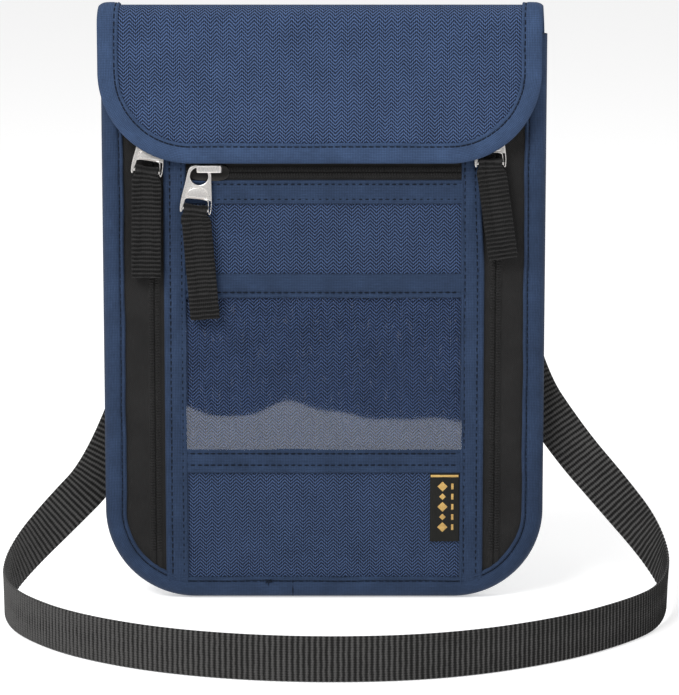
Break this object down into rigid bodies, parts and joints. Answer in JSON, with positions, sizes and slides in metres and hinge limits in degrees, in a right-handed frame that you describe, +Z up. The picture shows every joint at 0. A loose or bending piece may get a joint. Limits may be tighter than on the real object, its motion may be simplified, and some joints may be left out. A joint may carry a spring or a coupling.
{
  "type": "neck pouch wallet",
  "caption": "Flat fabric travel pouch with a flap, zip pockets and a clear window, worn on a webbing neck strap.",
  "frame": {"origin": "bottom centre of the pouch, on the surface that it stands on", "axes": "+X to the right across the pouch, +Y towards the back, +Z up"},
  "size_m": [0.2274, 0.1235, 0.206],
  "materials": {
    "navy_fabric": "fine twill with a faint check, matt",
    "navy_binding": "plain weave tape, matt",
    "shield_lining": "fine grey woven lining",
    "zip_tape": "black herringbone tape",
    "zip_coil": "moulded nylon coil",
    "zip_metal": "plated cast metal",
    "pull_webbing": "ribbed grosgrain",
    "clear_film": "clear glossy film",
    "woven_label": "woven label with a gold pattern",
    "hook_and_loop": "hook and loop pile",
    "strap_webbing": "ribbed flat webbing",
    "adjuster_plastic": "moulded black plastic"
  },
  "bodies": {
    "pouch": {"back_panel": "navy_fabric", "upper_front_panel": "navy_fabric", "window_backing": "navy_fabric", "lower_front_panel": "navy_fabric", "closure_panel": "navy_fabric", "pocket_base": "navy_fabric", "edge_binding": "navy_binding", "mouth_binding": "navy_binding", "left_centre_binding": "navy_binding", "right_centre_binding": "navy_binding", "zip_facing_strip": "navy_binding", "window_top_binding": "navy_binding", "window_bottom_binding": "navy_binding", "back_shield_lining": "shield_lining", "front_shield_lining": "shield_lining", "left_zip_tape": "zip_tape", "right_zip_tape": "zip_tape", "top_zip_tape": "zip_tape", "left_zip_coil": "zip_coil", "right_zip_coil": "zip_coil", "top_zip_coil": "zip_coil", "clear_window": "clear_film", "side_label": "woven_label", "loop_patch": "hook_and_loop", "left_strap_anchor": "strap_webbing", "right_strap_anchor": "strap_webbing", "strap_left_riser": "strap_webbing", "strap_front_loop": "strap_webbing", "strap_right_riser": "strap_webbing"},
    "flap": {"flap_panel": "navy_fabric", "flap_lining": "shield_lining", "flap_binding": "navy_binding", "hook_patch": "hook_and_loop"},
    "left_slider": {"left_zip_slider": "zip_metal"},
    "left_tab": {"left_pull_tab": "zip_metal"},
    "left_pull": {"left_webbing_pull": "pull_webbing"},
    "right_slider": {"right_zip_slider": "zip_metal"},
    "right_tab": {"right_pull_tab": "zip_metal"},
    "right_pull": {"right_webbing_pull": "pull_webbing"},
    "top_slider": {"top_zip_slider": "zip_metal"},
    "top_tab": {"top_pull_tab": "zip_metal"},
    "top_pull": {"top_webbing_pull": "pull_webbing"},
    "adjuster": {"strap_adjuster": "adjuster_plastic"}
  },
  "joints": [
    {"name": "flap_hinge", "type": "hinge", "parent": "pouch", "child": "flap", "pos_m": [0, 0.00255, 0.203], "axis": [-1, 0, 0], "range_deg": [0, 175]},
    {"name": "left_zip_slide", "type": "slide", "parent": "pouch", "child": "left_slider", "axis": [0, 0, -1], "range_m": [0, 0.137]},
    {"name": "left_tab_swing", "type": "hinge", "parent": "left_slider", "child": "left_tab", "pos_m": [-0.0581, -0.00535, 0.1636], "axis": [-1, 0, 0], "range_deg": [0, 4]},
    {"name": "left_pull_swing", "type": "hinge", "parent": "left_tab", "child": "left_pull", "pos_m": [-0.06016, -0.00535, 0.14985], "axis": [-0.989, 0, 0.1478], "range_deg": [0, 90]},
    {"name": "right_zip_slide", "type": "slide", "parent": "pouch", "child": "right_slider", "axis": [0, 0, -1], "range_m": [0, 0.14]},
    {"name": "right_tab_swing", "type": "hinge", "parent": "right_slider", "child": "right_tab", "pos_m": [0.0565, -0.00535, 0.1664], "axis": [-1, 0, 0], "range_deg": [0, 1]},
    {"name": "right_pull_swing", "type": "hinge", "parent": "right_tab", "child": "right_pull", "pos_m": [0.0565, -0.00535, 0.1525], "axis": [-1, 0, 0], "range_deg": [0, 25]},
    {"name": "top_zip_slide", "type": "slide", "parent": "pouch", "child": "top_slider", "axis": [1, 0, 0], "range_m": [0, 0.08]},
    {"name": "top_tab_swing", "type": "hinge", "parent": "top_slider", "child": "top_tab", "pos_m": [-0.0421, -0.00535, 0.1505], "axis": [-1, 0, 0], "range_deg": [0, 85]},
    {"name": "top_pull_swing", "type": "hinge", "parent": "top_tab", "child": "top_pull", "pos_m": [-0.0437, -0.00535, 0.13669], "axis": [-0.9934, 0, 0.1149], "range_deg": [0, 90]},
    {"name": "adjuster_slide", "type": "slide", "parent": "pouch", "child": "adjuster", "axis": [-0.0706, 0.0422, -0.9966], "range_m": [-0.008, 0.008]}
  ]
}
